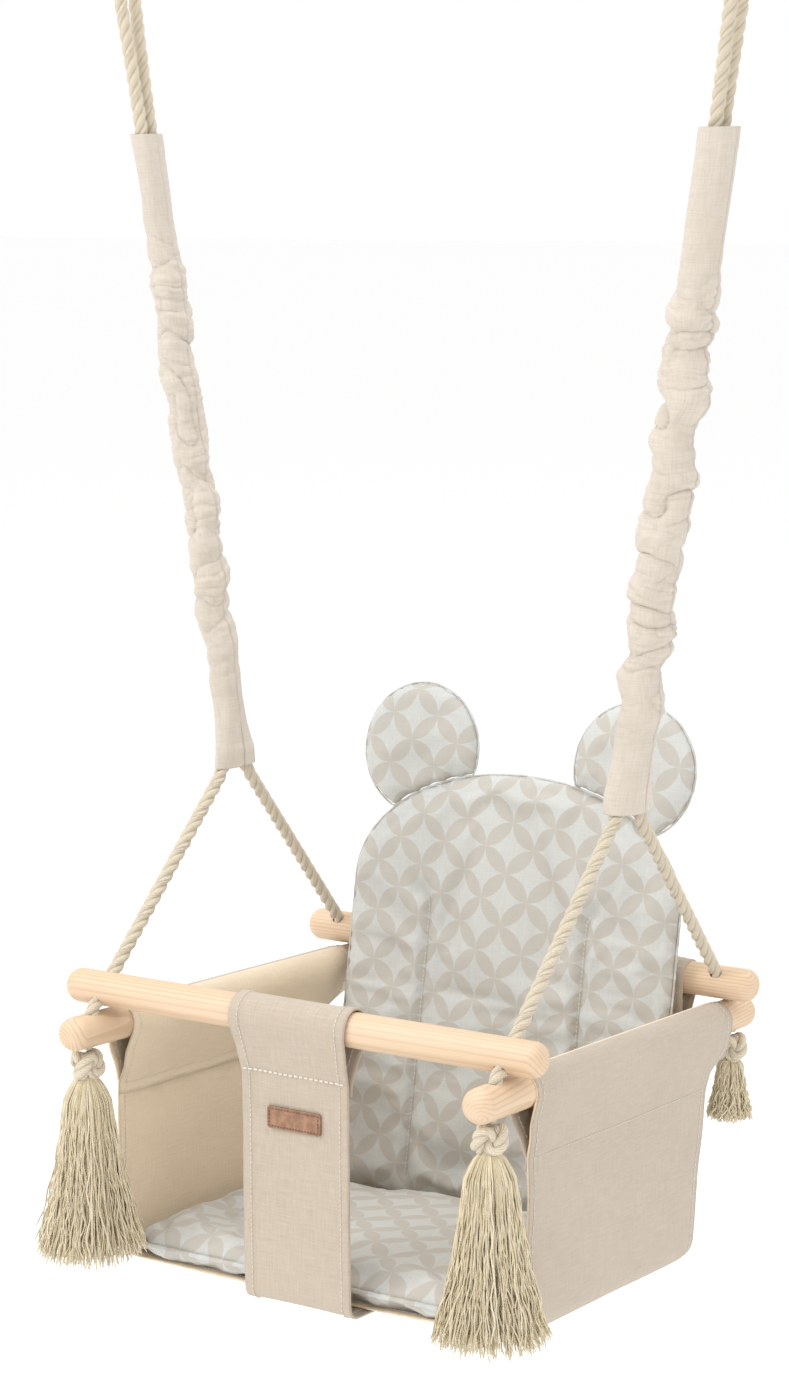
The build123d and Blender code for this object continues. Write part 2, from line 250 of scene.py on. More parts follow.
def frames_along(line, closed=False):
    """Two axes across the line at each point, carried along it with no twist."""
    tangent = np.gradient(line, axis=0)
    if closed:
        tangent = np.roll(line, -1, axis=0) - np.roll(line, 1, axis=0)
    tangent /= np.linalg.norm(tangent, axis=1)[:, None]
    start = np.cross(tangent[0], [0.0, 0.0, 1.0])
    if np.linalg.norm(start) < 0.1:
        start = np.cross(tangent[0], [1.0, 0.0, 0.0])
    side = [start / np.linalg.norm(start)]
    for t in tangent[1:]:
        s = side[-1] - t * (side[-1] @ t)
        side.append(s / np.linalg.norm(s))
    side = np.array(side)
    return side, np.cross(tangent, side)


ROPE_LAY = 0.031  # of one turn of a strand
STRAND_REACH = 0.0051  # from the rope's line to the top of a strand
CREASE = 0.70  # of that, down to the crease between two strands
STRANDS = 3
ROPE_SIDES = 36


def rope_mesh(line, along, radius):
    """A rope's surface: a section of three lobes that turns as it goes along the line."""
    side, up = frames_along(line)
    around = np.linspace(0, 2 * math.pi, ROPE_SIDES, endpoint=False)
    lobe = (around + math.pi / STRANDS) % (2 * math.pi / STRANDS) - math.pi / STRANDS
    section = radius * (CREASE + (1 - CREASE) * np.cos(lobe * STRANDS / 2))
    phase = 2 * math.pi * along / ROPE_LAY
    angle = around[None, :] + phase[:, None]
    out = side[:, None, :] * np.cos(angle)[..., None] + up[:, None, :] * np.sin(angle)[..., None]
    points = line[:, None, :] + out * section[None, :, None]
    return points, flat_map(around / (2 * math.pi), along[:, None])


# Materials


class Nodes:
    """A new material, and short calls for building its nodes."""

    def __init__(self, name, colour, roughness):
        self.material = bpy.data.materials.new(name)
        self.material.use_nodes = True
        self.tree = self.material.node_tree
        self.shader = self.tree.nodes["Principled BSDF"]
        self.shader.inputs["Base Color"].default_value = (*colour, 1)
        self.shader.inputs["Roughness"].default_value = roughness

    def flat(self):
        return self.add("ShaderNodeUVMap", uv_map="flat").outputs[0]

    def place(self):
        return self.add("ShaderNodeTexCoord").outputs["Object"]

    def add(self, kind, **values):
        node = self.tree.nodes.new(kind)
        for key, value in values.items():
            setattr(node, key, value)
        return node

    def put(self, value, socket):
        if isinstance(value, bpy.types.NodeSocket):
            self.tree.links.new(value, socket)
        else:
            socket.default_value = value

    def math(self, operation, a, b=0.0, c=0.0):
        node = self.add("ShaderNodeMath", operation=operation)
        for value, socket in zip((a, b, c), node.inputs):
            self.put(value, socket)
        return node.outputs[0]

    def mix(self, factor, a, b, blend="MIX"):
        node = self.add("ShaderNodeMix", data_type="RGBA", blend_type=blend)
        self.put(factor, node.inputs["Factor"])
        for value, socket in ((a, node.inputs[6]), (b, node.inputs[7])):
            self.put(value if isinstance(value, bpy.types.NodeSocket) else (*value, 1), socket)
        return node.outputs[2]

    def noise(self, vector, scale, detail=2.0, roughness=0.5):
        node = self.add("ShaderNodeTexNoise")
        self.put(vector, node.inputs["Vector"])
        node.inputs["Scale"].default_value = scale
        node.inputs["Detail"].default_value = detail
        node.inputs["Roughness"].default_value = roughness
        return node.outputs["Fac"]

    def scaled(self, vector, scale, place=(0, 0, 0), turn=(0, 0, 0)):
        node = self.add("ShaderNodeMapping")
        self.put(vector, node.inputs["Vector"])
        node.inputs["Scale"].default_value = scale
        node.inputs["Location"].default_value = place
        node.inputs["Rotation"].default_value = turn
        return node.outputs[0]

    def parts(self, vector):
        node = self.add("ShaderNodeSeparateXYZ")
        self.put(vector, node.inputs[0])
        return node.outputs

    def steps(self, value, low, high, to_low=0.0, to_high=1.0, smooth=True):
        node = self.add("ShaderNodeMapRange", interpolation_type="SMOOTHSTEP" if smooth else "LINEAR")
        self.put(value, node.inputs[0])
        for v, socket in zip((low, high, to_low, to_high), node.inputs[1:5]):
            socket.default_value = v
        return node.outputs[0]

    def bump(self, height, distance, strength):
        node = self.add("ShaderNodeBump")
        self.put(height, node.inputs["Height"])
        node.inputs["Distance"].default_value = distance
        node.inputs["Strength"].default_value = strength
        return node.outputs[0]

    def finish(self, colour=None, normal=None, roughness=None):
        for name, value in (("Base Color", colour), ("Normal", normal), ("Roughness", roughness)):
            if value is not None:
                self.put(value, self.shader.inputs[name])


def weave(n, uv, pitch):
    """The height of a plain weave, from 0 to 1, and its slubs."""
    wobble = n.noise(uv, 60, 1.0)
    u, v, _ = n.parts(uv)
    bend = n.math("MULTIPLY", wobble, 0.0012)
    turns = 2 * math.pi / pitch
    across = n.math("SINE", n.math("MULTIPLY", n.math("ADD", u, bend), turns))
    along = n.math("SINE", n.math("MULTIPLY", n.math("ADD", v, bend), turns))
    height = n.math("MULTIPLY", across, along)
    warp = n.noise(n.scaled(uv, (1, 0.06, 1)), 900, 1.0)
    weft = n.noise(n.scaled(uv, (0.06, 1, 1)), 900, 1.0)
    slub = n.math("ADD", warp, weft)
    return n.math("MULTIPLY_ADD", height, 0.5, 0.5), slub


def canvas_material(name, light, dark, pitch):
    n = Nodes(name, light, 0.9)
    uv = n.flat()
    height, slub = weave(n, uv, pitch)
    cloud = n.noise(uv, 14, 3.0)
    shade = n.math("ADD", n.math("MULTIPLY", slub, 0.55), n.math("MULTIPLY", cloud, 0.25))
    shade = n.math("ADD", shade, n.math("MULTIPLY", height, 0.12))
    colour = n.mix(n.steps(shade, 0.45, 1.0, smooth=False), dark, light)
    fleck = n.steps(n.noise(uv, 420, 2.0), 0.70, 0.78)
    colour = n.mix(n.math("MULTIPLY", fleck, 0.35), colour, [0.55 * c for c in dark])
    rough = n.bump(n.math("ADD", height, slub), 0.00035, 0.8)
    n.finish(colour, rough)
    n.shader.inputs["Sheen Weight"].default_value = 0.25
    n.shader.inputs["Sheen Roughness"].default_value = 0.6
    return n.material


PRINT_SPACING = 0.0275


def print_material(name, ground, petal):
    n = Nodes(name, ground, 0.85)
    uv = n.flat()
    scale = 1 / PRINT_SPACING
    turned = n.scaled(uv, (scale, scale, 1), turn=(0, 0, math.radians(45)))
    u, v, _ = n.parts(turned)
    x = n.math("PINGPONG", u, 0.5)
    y = n.math("PINGPONG", v, 0.5)

    def reach(a, b):
        short = n.math("SUBTRACT", 1.0, a)
        return n.math("ADD", n.math("MULTIPLY", short, short), n.math("MULTIPLY", b, b))

    nearest = n.math("MINIMUM", reach(x, y), reach(y, x))
    ragged = n.math("MULTIPLY_ADD", n.noise(uv, 1400, 1.0), 0.03, -0.015)
    inside = n.steps(n.math("ADD", nearest, ragged), 0.485, 0.515, 1.0, 0.0)
    height, slub = weave(n, uv, 0.0006)
    ink = n.math("MULTIPLY", inside, n.steps(slub, 0.6, 1.3, 0.75, 1.0))
    thread = n.steps(slub, 0.7, 1.3, 0.93, 1.0)
    colour = n.mix(ink, ground, petal)
    tint = n.add("ShaderNodeCombineColor")
    for socket in tint.inputs:
        n.put(thread, socket)
    colour = n.mix(1.0, colour, tint.outputs[0], "MULTIPLY")
    n.finish(colour, n.bump(n.math("ADD", height, slub), 0.0002, 0.7))
    n.shader.inputs["Sheen Weight"].default_value = 0.2
    return n.material


def rope_material(name, light, dark):
    """Cotton rope: a strand's yarns run nearly along the rope, against the way that the strands turn."""
    n = Nodes(name, light, 0.9)
    uv = n.flat()
    u, v, _ = n.parts(uv)
    slant = n.math("ADD", n.math("MULTIPLY", u, 30), n.math("MULTIPLY", v, -520))
    yarn = n.math("SINE", n.math("MULTIPLY", slant, math.pi))
    fibre = n.noise(n.scaled(uv, (14, 900, 1)), 1.6, 3.0, 0.65)
    lobe = n.math("PINGPONG", n.math("MULTIPLY", u, STRANDS), 0.5)
    # Darker in the crease between two strands: painted shade where the strands shadow each other.
    painted_crease_shade = n.steps(lobe, 0.34, 0.5)
    shade = n.math("ADD", n.math("MULTIPLY", fibre, 0.8), n.math("MULTIPLY", yarn, 0.12))
    colour = n.mix(n.steps(shade, 0.2, 0.75), dark, light)
    colour = n.mix(n.math("MULTIPLY", painted_crease_shade, 0.55), colour, [0.6 * c for c in dark])
    n.finish(colour, n.bump(n.math("ADD", n.math("MULTIPLY", yarn, 0.5), fibre), 0.0005, 0.8))
    n.shader.inputs["Sheen Weight"].default_value = 0.3
    return n.material


def yarn_material(name, light, dark):
    """Loose yarn, whose flat map gives a number for each yarn and the place along it."""
    n = Nodes(name, light, 0.92)
    uv = n.flat()
    _, v, _ = n.parts(uv)
    each = n.noise(n.scaled(uv, (1, 0.01, 1)), 37.0, 0.0)
    twist = n.math("SINE", n.math("MULTIPLY", v, 2 * math.pi / 0.0022))
    along = n.noise(n.scaled(uv, (9, 160, 1)), 1.0, 2.0)
    shade = n.math("ADD", n.math("MULTIPLY", each, 0.7), n.math("MULTIPLY", along, 0.45))
    colour = n.mix(n.steps(shade, 0.35, 0.8), dark, light)
    n.finish(colour, n.bump(twist, 0.0002, 0.6))
    n.shader.inputs["Sheen Weight"].default_value = 0.3
    return n.material


def wood_material(name, along, heart, seed):
    """Pine, with growth rings round a heart line. along is the rod's axis, 0 for X or 1 for Y."""
    n = Nodes(name, (0.75, 0.55, 0.34), 0.5)
    place = n.place()
    stretch = [1.0, 1.0, 1.0]
    stretch[along] = 0.03
    warp = n.noise(n.scaled(place, stretch, (seed, seed, seed)), 45, 2.0)
    x, y, z = n.parts(place)
    across = (x, y)[1 - along]
    a = n.math("SUBTRACT", across, heart[0])
    b = n.math("SUBTRACT", z, heart[1])
    reach = n.math("SQRT", n.math("ADD", n.math("MULTIPLY", a, a), n.math("MULTIPLY", b, b)))
    rings = n.math("ADD", n.math("MULTIPLY", reach, 1 / 0.0026), n.math("MULTIPLY", warp, 1.5))
    ring = n.math("FRACT", rings)
    late = n.steps(ring, 0.45, 0.97)
    late = n.math("MULTIPLY", late, n.steps(ring, 0.97, 1.0, 1.0, 0.0))
    fibre = n.noise(n.scaled(place, stretch, (0, seed, 0)), 1900, 3.0, 0.7)
    blotch = n.noise(n.scaled(place, stretch, (seed, 0, 0)), 120, 2.0)
    colour = n.mix(n.math("MULTIPLY", late, 0.45), (0.71, 0.53, 0.36), (0.47, 0.285, 0.14))
    colour = n.mix(n.steps(fibre, 0.45, 0.75, 0.0, 0.4), colour, (0.60, 0.41, 0.24))
    colour = n.mix(n.steps(blotch, 0.4, 0.7, 0.0, 0.35), colour, (0.77, 0.58, 0.44))
    grain = n.math("ADD", fibre, n.math("MULTIPLY", late, -0.5))
    n.finish(colour, n.bump(grain, 0.00025, 0.5), n.steps(fibre, 0.3, 0.7, 0.42, 0.58))
    return n.material


def leather_material(name):
    n = Nodes(name, (0.30, 0.155, 0.09), 0.55)
    place = n.place()
    cells = n.add("ShaderNodeTexVoronoi", feature="DISTANCE_TO_EDGE")
    n.put(place, cells.inputs["Vector"])
    cells.inputs["Scale"].default_value = 1500
    cloud = n.noise(place, 160, 4.0)
    colour = n.mix(n.steps(cloud, 0.35, 0.7), (0.25, 0.125, 0.07), (0.40, 0.225, 0.135))
    grain = n.bump(n.math("ADD", cells.outputs[0], cloud), 0.0002, 0.8)
    n.finish(colour, grain, n.steps(cloud, 0.3, 0.7, 0.45, 0.65))
    return n.material


def steel_material(name):
    n = Nodes(name, (0.62, 0.62, 0.60), 0.3)
    n.shader.inputs["Metallic"].default_value = 1.0
    place = n.place()
    scratch = n.noise(n.scaled(place, (1, 14, 1)), 700, 3.0)
    n.finish(None, n.bump(scratch, 0.00008, 0.6), n.steps(scratch, 0.3, 0.7, 0.24, 0.42))
    return n.material


def thread_material(name, colour):
    n = Nodes(name, colour, 0.8)
    place = n.place()
    n.finish(n.mix(n.noise(place, 900, 2.0), [0.8 * c for c in colour], colour))
    return n.material


CANVAS = canvas_material("canvas", (0.59, 0.50, 0.40), (0.475, 0.39, 0.30), 0.0011)
# The canvas again, lighter and warmer, for the sling's faces that look into the seat: painted light, standing
# in for the lamp light that shines through the cloth from outside.
PAINTED_BACKLIT_CANVAS = canvas_material("painted_backlit_canvas", (0.90, 0.75, 0.55), (0.79, 0.64, 0.45), 0.0011)
SLEEVE_CANVAS = canvas_material("sleeve_canvas", (0.75, 0.675, 0.58), (0.62, 0.54, 0.44), 0.0009)
PRINTED = print_material("printed_cotton", (0.625, 0.63, 0.60), (0.545, 0.508, 0.45))
ROPE = rope_material("rope_cotton", (0.86, 0.79, 0.65), (0.64, 0.54, 0.39))
YARN = yarn_material("tassel_cotton", (0.82, 0.73, 0.54), (0.55, 0.45, 0.28))
THREAD = thread_material("thread", (0.80, 0.75, 0.66))
DARK_THREAD = thread_material("dark_thread", (0.12, 0.055, 0.03))


# Cords


def hung_point(x, y, z):
    return HUNG @ Vector((x, y, z))


SIX_DIAMETERS = 0.054
RING_TURN_REACH = 0.0118  # wide enough for the spline to pass round the ring's wire and not through it


def rope_route(hand):
    """The rope's route, as the frame has it, with points added on its long straight stretches."""
    x = hand * HALF_WIDTH
    leg_spread = ROPE_RADIUS + 0.0005
    crossing = Vector((x, 0, -HANG_DROP))
    lean = Vector((hand * ROPE_LEAN, 0, 1))
    top = crossing + lean * (HANG_DROP - SLEEVE_TOP_DROP)
    bend = 0.0082
    crown = Vector((x + hand * HANG_DROP * ROPE_LEAN, 0, 0)) + lean.normalized() * bend
    legs = []
    for side in (-1, 1):
        knot = hung_point(x, side * ENTRY_Y, KNOT_TOP_Z)
        entry = hung_point(x, side * ENTRY_Y, ENTRY_Z)
        along = (crossing - entry).normalized()
        merge = crossing - along * (leg_spread / abs(along.y))
        after_entry = entry.lerp(merge, (entry - knot).length / (merge - entry).length)
        before_merge = entry.lerp(merge, 1 - SIX_DIAMETERS / (merge - entry).length)
        above = top + Vector((0, side * leg_spread, 0))
        after_merge = merge.lerp(above, SIX_DIAMETERS / (above - merge).length)
        ring_turn = crown + Vector((0, side * RING_TURN_REACH, 0))
        foot = crown - lean.normalized() * SIX_DIAMETERS + Vector((0, side * bend, 0))
        legs.append([knot, entry, after_entry, before_merge, merge, after_merge, above, foot, ring_turn])
    return legs[0] + legs[1][::-1]


def make_rope(hand, name):
    route = rope_route(hand)
    line, along = evenly(line_of(route), 0.0012)
    points, uv = rope_mesh(line, along, STRAND_REACH)
    rope = grid_piece(f"{name}_twisted_rope", points, uv, wrap=True)
    finish(rope, "rope_cotton", ROPE, body="seat", node=f"{name}_rope")


make_camera()
make_studio()
for hand, name in ((-1, "left"), (1, "right")):
    make_rope(hand, name)


# Rods, rings and hardware


def dress(node, material):
    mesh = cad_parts[node].data
    mesh.materials.clear()
    mesh.materials.append(material)


# Where each rod's growth rings have their middle, from its axis
HEART_ACROSS = (0.009, -0.006, -0.007, 0.006)
HEART_UP = (0.012, 0.016, 0.009, 0.007)


def dress_rods():
    for seed, (node, along) in enumerate(
        (("front_rod", 0), ("back_rod", 0), ("left_side_rod", 1), ("right_side_rod", 1))
    ):
        low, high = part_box(node)
        middle = (low + high) / 2
        across = (middle.x, middle.y)[1 - along]
        heart = (across + HEART_ACROSS[seed], middle.z + HEART_UP[seed])
        dress(node, wood_material(f"pine_{node}", along, heart, 3.1 + 2.3 * seed))
    steel = steel_material("ring_steel")
    for node in ("left_hanging_ring", "right_hanging_ring"):
        dress(node, steel)


dress_rods()


# Canvas

CANVAS_THICKNESS = 0.0015
STITCH_LIFT = 0.0011  # from the middle of the cloth
SEAM_LIFT = 0.0012
TUNNEL_TAIL = 0.008


def arc(centre, radius, start, end, step=0.003):
    count = max(3, math.ceil(abs(end - start) * radius / step))
    turns = np.linspace(start, end, count)
    return [(centre[0] + radius * math.cos(a), centre[1] + radius * math.sin(a)) for a in turns]


def tangent_angle(centre, point, turn):
    """Where straight cloth from this point meets the loop. turn, 1 or -1, is the side of the rod."""
    across, up = point[0] - centre[0], point[1] - centre[1]
    angle = math.atan2(up, across) + turn * math.acos(LOOP_RADIUS / math.hypot(across, up))
    return (angle + math.pi / 2) % (2 * math.pi) - math.pi / 2


def loop_section(centre, seam, foot_path, inward):
    """A section of cloth that starts at its tail beside the seam, goes up over a rod and down past the seam.
    inward is the side that the tail lies on: -1 towards lower first coordinates, 1 towards higher."""
    inner = (seam[0] + inward * 1.15 * CLOTH, seam[1])
    start = tangent_angle(centre, inner, inward)
    end = tangent_angle(centre, seam, -inward)
    tail = [(inner[0], inner[1] - TUNNEL_TAIL), inner]
    return tail + arc(centre, LOOP_RADIUS, start, end) + [seam] + foot_path


def resampled(section, step):
    points = np.array(section, float)
    keep = np.concatenate([[True], np.linalg.norm(np.diff(points, axis=0), axis=1) > 1e-6])
    points = points[keep]
    along = np.concatenate([[0], np.cumsum(np.linalg.norm(np.diff(points, axis=0), axis=1))])
    at = np.linspace(0, along[-1], math.ceil(along[-1] / step) + 1)
    return np.stack([np.interp(at, along, points[:, k]) for k in range(2)], axis=1)


def section_normals(points):
    tangent = np.gradient(points, axis=0)
    tangent /= np.maximum(np.linalg.norm(tangent, axis=1), 1e-9)[:, None]
    return np.stack([tangent[:, 1], -tangent[:, 0]], axis=1)


def stitch_mesh(lines, radius=0.00042, length=0.0026, gap=0.0009):
    """Stitches along lines of points, each a small bead lying on the cloth."""
    points, faces = [], []
    profile = [(-0.5, 0.25), (-0.3, 0.9), (0.3, 0.9), (0.5, 0.25)]
    sides = 6
    for line in lines:
        fine, along = evenly(np.asarray(line, float), 0.0005)
        at = 0.0
        while at + length < along[-1]:
            middle = [np.interp(at + length / 2, along, fine[:, k]) for k in range(3)]
            ahead = [np.interp(at + length, along, fine[:, k]) for k in range(3)]
            way = np.array(ahead) - np.array(middle)
            way /= max(np.linalg.norm(way), 1e-9)
            side = np.cross(way, [0.31, 0.57, 0.76])
            side /= np.linalg.norm(side)
            up = np.cross(way, side)
            start = len(points)
            for s, r in profile:
                for k in range(sides):
                    a = 2 * math.pi * k / sides
                    out = side * math.cos(a) + up * math.sin(a)
                    points.append(middle + way * s * length + out * r * radius)
            faces += [tuple(f) for f in grid_faces(len(profile), sides, True, start)]
            faces.append(tuple(range(start + sides - 1, start - 1, -1)))
            last = start + (len(profile) - 1) * sides
            faces.append(tuple(range(last, last + sides)))
            at += length + gap
    return points, faces


def rows_crossing(heights, level):
    """The rows of a section that are the first past a height."""
    return [i for i in range(1, len(heights)) if (heights[i - 1] - level) * (heights[i] - level) < 0]


def sewn_lines(points, normals, rows, columns, lift=STITCH_LIFT):
    """A line of stitches on each face of the cloth. rows is one row or columns is one column."""
    if isinstance(columns, int):
        return [[points[i, columns] + normals[i] * side for i in rows] for side in (lift, -lift)]
    return [[points[rows, j] + normals[rows] * side for j in columns] for side in (lift, -lift)]


def stitches(name, lines, place, slot, material=THREAD, body=None, **sizes):
    """Stitches along lines given in place's own frame. With no body they follow the strap."""
    piece = mesh_piece(name, *stitch_mesh([moved(line, place) for line in lines], **sizes))
    finish(piece, slot, material, body=body)
    if not body:
        follow_strap(piece)


def sling_edges(z):
    """The front and rear edges of the sling at a height, in the level seat's frame."""
    heights = [SEAT_Z - 0.01, -0.062, -0.050, 0.02]
    front = np.interp(z, heights, [SEAT_FRONT_Y, -0.134, -0.138, -0.138])
    rear = np.interp(z, heights, [SEAT_REAR_Y, 0.130, 0.152, 0.152])
    return front, rear


def side_section():
    corner = 0.018
    seam = (WALL_X, SIDE_ROD_Z - SLING_SEAM_DROP)
    foot = [(WALL_X, SEAT_Z + corner)]
    foot += arc((WALL_X - corner, SEAT_Z + corner), corner, 0, -math.pi / 2)
    foot += [(0.0, SEAT_Z)]
    half = resampled(loop_section((HALF_WIDTH, SIDE_ROD_Z), seam, foot, -1), 0.004)
    return np.concatenate([half, half[::-1][1:] * [-1, 1]])


def make_sling():
    section = side_section()
    out = section_normals(section)
    columns = 76
    share = np.linspace(0, 1, columns)
    gaps = np.linalg.norm(np.diff(section, axis=0), axis=1)
    along = np.concatenate([[0], np.cumsum(gaps)])
    front, rear = sling_edges(section[:, 1])
    y = front[:, None] + (rear - front)[:, None] * share[None, :]
    points = np.zeros((len(section), columns, 3))
    for i, (x, z) in enumerate(section):
        seat = np.clip((SEAT_Z + 0.03 - z) / 0.03, 0, 1)
        near_seam = math.exp(-(((z - SIDE_ROD_Z + SLING_SEAM_DROP) / 0.012) ** 2))
        for j in range(columns):
            edge = min(y[i, j] - front[i], rear[i] - y[i, j])
            hem = 0.0006 * (1 - min(1.0, max(0.0, (edge - 0.009) / 0.001)))
            soft = 0.0016 * noise.noise(Vector((along[i] * 11, y[i, j] * 9, 3.0)))
            ripple = 0.0007 * noise.noise(Vector((along[i] * 30, y[i, j] * 75, 8.0))) * near_seam
            slack = 0.0012 * noise.noise(Vector((along[i] * 26, y[i, j] * 24, 5.0))) * (1 - seat)
            on_rod = z > SIDE_ROD_Z - 0.004
            push = hem + (0.0003 if on_rod else soft + ripple + slack)
            points[i, j] = (x + out[i, 0] * push, y[i, j], z + out[i, 1] * push)
    sling = grid_piece("canvas_sling", moved(points, HUNG), flat_map(along[:, None], y))
    solidify(sling, CANVAS_THICKNESS)
    # The sling's faces that look into the seat get the lighter, warmer canvas: painted light shining through
    # the cloth. The faces that look out keep the plain canvas.
    finish(sling, "canvas", PAINTED_BACKLIT_CANVAS, CANVAS, PAINTED_BACKLIT_CANVAS, body="seat", node="side_sling")
    sling.modifiers["thickness"].material_offset = 1
    leg = int(np.argmax(section[:, 1]))
    for number, face in enumerate(sling.data.polygons):
        row = number // (columns - 1)
        face.material_index = 1 if min(row, len(section) - 2 - row) < leg else 0
    lines = []
    normals = np.stack([out[:, 0], np.zeros(len(out)), out[:, 1]], axis=1)
    for column in (2, columns - 3):
        lines += sewn_lines(points, normals, range(2, len(section) - 2), column)
    for row in rows_crossing(section[:, 1], SIDE_ROD_Z - 0.046):
        lines += sewn_lines(points, normals, row, range(2, columns - 2))
    stitches("sling_stitches", lines, HUNG, "canvas", body="seat")


def band_grid(section, half_widths, wrinkle, seed, columns=40):
    """Points, flat map and normals of a band of cloth whose section lies in the YZ plane."""
    out = section_normals(section)
    along = np.concatenate([[0], np.cumsum(np.linalg.norm(np.diff(section, axis=0), axis=1))])
    across = np.linspace(-1, 1, columns)
    points = np.zeros((len(section), columns, 3))
    for i, (y, z) in enumerate(section):
        for j, share in enumerate(across):
            x = share * half_widths[i]
            edge = half_widths[i] - abs(x)
            hem = 0.0006 * (1 - min(1.0, max(0.0, (edge - 0.008) / 0.001)))
            push = hem + wrinkle(along[i], x, z, seed)
            points[i, j] = (x, y + out[i, 0] * push, z + out[i, 1] * push)
    uv = flat_map(across[None, :] * half_widths[:, None], along[:, None])
    normals = np.stack([np.zeros(len(out)), out[:, 0], out[:, 1]], axis=1)
    return points, uv, normals


def strap_wrinkle(along, x, z, seed):
    loop = math.exp(-(((z + 0.018) / 0.024) ** 2))
    fold = 0.0011 * abs(noise.noise(Vector((x * 42, along * 16, seed))))
    soft = 0.0013 * noise.noise(Vector((x * 14, along * 11, seed + 4)))
    on_rod = 0.35 if z > -0.004 else 1.0
    return (fold * loop * 1.6 + soft * (1 - loop)) * on_rod + 0.0003


def follow_strap(piece):
    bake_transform(piece)


def make_strap():
    corner = 0.008
    foot = [(STRAP_FOOT_Y, FOOT_Z + corner)]
    foot += arc((STRAP_FOOT_Y + corner, FOOT_Z + corner), corner, math.pi, 1.5 * math.pi)
    foot += [(STRAP_FOOT_Y + 0.042, FOOT_Z)]
    section = loop_section((-HALF_DEPTH, 0.0), (STRAP_TOP_Y, -STRAP_SEAM_DROP), foot, 1)
    section = resampled(section, 0.003)
    flare = np.exp(-(((section[:, 1] - 0.004) / 0.026) ** 2))
    half = 0.045 + 0.0035 * flare
    points, uv, normals = band_grid(section, half, strap_wrinkle, 2.0)
    strap = grid_piece("canvas_strap", moved(points, HUNG), uv)
    solidify(strap, CANVAS_THICKNESS)
    finish(strap, "canvas", CANVAS, node="crotch_strap")
    follow_strap(strap)
    lines = []
    for column in (3, 36):
        lines += sewn_lines(points, normals, range(2, len(section) - 4), column)
    seam_lines = []
    for row in rows_crossing(section[:, 1], -0.0385):
        seam_lines += sewn_lines(points, normals, row, range(1, 39), SEAM_LIFT)
    stitches("strap_stitches", lines, HUNG, "canvas")
    stitches("strap_seam", seam_lines, HUNG, "canvas", radius=0.0009, length=0.0034)


def panel_wrinkle(along, x, z, seed):
    on_rod = 0.1 if z > -0.01 else 1.0
    return (0.002 * noise.noise(Vector((x * 9, along * 8, seed)))) * on_rod + 0.0002


def make_back_panel():
    corner = 0.008
    foot_y = SEAT_REAR_Y + 0.005
    seam_drop = 0.050
    seam_y = foot_y + (HALF_DEPTH - foot_y) * (1 + seam_drop / FOOT_Z)
    foot = [(foot_y, FOOT_Z + corner)]
    foot += arc((foot_y - corner, FOOT_Z + corner), corner, 0, -math.pi / 2)
    foot += [(foot_y - 0.042, FOOT_Z)]
    section = loop_section((HALF_DEPTH, 0.0), (seam_y, -seam_drop), foot, -1)
    section = resampled(section, 0.004)
    half = np.full(len(section), BACK_HALF_WIDTH)
    points, uv, normals = band_grid(section, half, panel_wrinkle, 6.0, 72)
    panel = grid_piece("canvas_back_panel", moved(points, HUNG), uv)
    solidify(panel, CANVAS_THICKNESS)
    finish(panel, "canvas", CANVAS, body="seat", node="back_panel")
    lines = []
    for column in (2, 69):
        lines += sewn_lines(points, normals, range(2, len(section) - 4), column)
    for row in rows_crossing(section[:, 1], -0.048):
        lines += sewn_lines(points, normals, row, range(1, 71))
    stitches("panel_stitches", lines, HUNG, "canvas", body="seat")


def make_patch():
    """The blank leather patch: a slab with softened edges, a pressed border and its stitches."""
    width, height, corner, thick = 0.045, 0.016, 0.002, 0.0015
    lean = math.atan2(STRAP_FOOT_Y - STRAP_TOP_Y, -FOOT_Z - STRAP_SEAM_DROP)
    middle_y = STRAP_TOP_Y + math.tan(lean) * (PATCH_DROP - STRAP_SEAM_DROP)
    middle = Matrix.Translation((0, middle_y, -PATCH_DROP))
    place = HUNG @ middle @ Matrix.Rotation(lean + math.pi / 2, 4, "X")
    # Each ring of the slab's profile: its inset in millimetres, and its share of the thickness
    rings = [(0.0, 0.0), (0.0, 0.7), (0.10, 0.93), (0.35, 1.0)]
    rings += [(0.95, 1.0), (1.15, 0.72), (1.35, 1.0), (1.7, 1.0)]
    base = CLOTH / 2 + 0.0007
    points = []
    for inset, level in rings:
        inset = inset * 0.001
        ring = []
        for cx, cy, start in ((1, 1, 0), (-1, 1, 1), (-1, -1, 2), (1, -1, 3)):
            for a in np.linspace(start * math.pi / 2, (start + 1) * math.pi / 2, 7):
                r = max(corner - inset, 0.0003)
                ring.append(
                    (
                        cx * (width / 2 - corner) + r * math.cos(a),
                        cy * (height / 2 - corner) + r * math.sin(a),
                        base + level * thick,
                    )
                )
        points.append(ring)
    points = np.array(points)
    count = points.shape[1]
    faces = [tuple(f) for f in grid_faces(len(rings), count, True)]
    faces.append(tuple(range((len(rings) - 1) * count, len(rings) * count)))
    faces.append(tuple(range(count - 1, -1, -1)))
    patch = mesh_piece("leather_patch", moved(points.reshape(-1, 3), place), faces)
    finish(patch, "patch_leather", leather_material("patch_leather"), node="strap_patch")
    follow_strap(patch)
    border = [p * [0.955, 0.875, 1] + [0, 0, 0.0001] for p in points[4]]
    border.append(border[0])
    sizes = dict(length=0.0017, gap=0.0008, radius=0.0003)
    stitches("patch_stitches", [border], place, "patch_leather", DARK_THREAD, **sizes)


make_sling()
make_strap()
make_back_panel()
make_patch()


# Rope sleeves


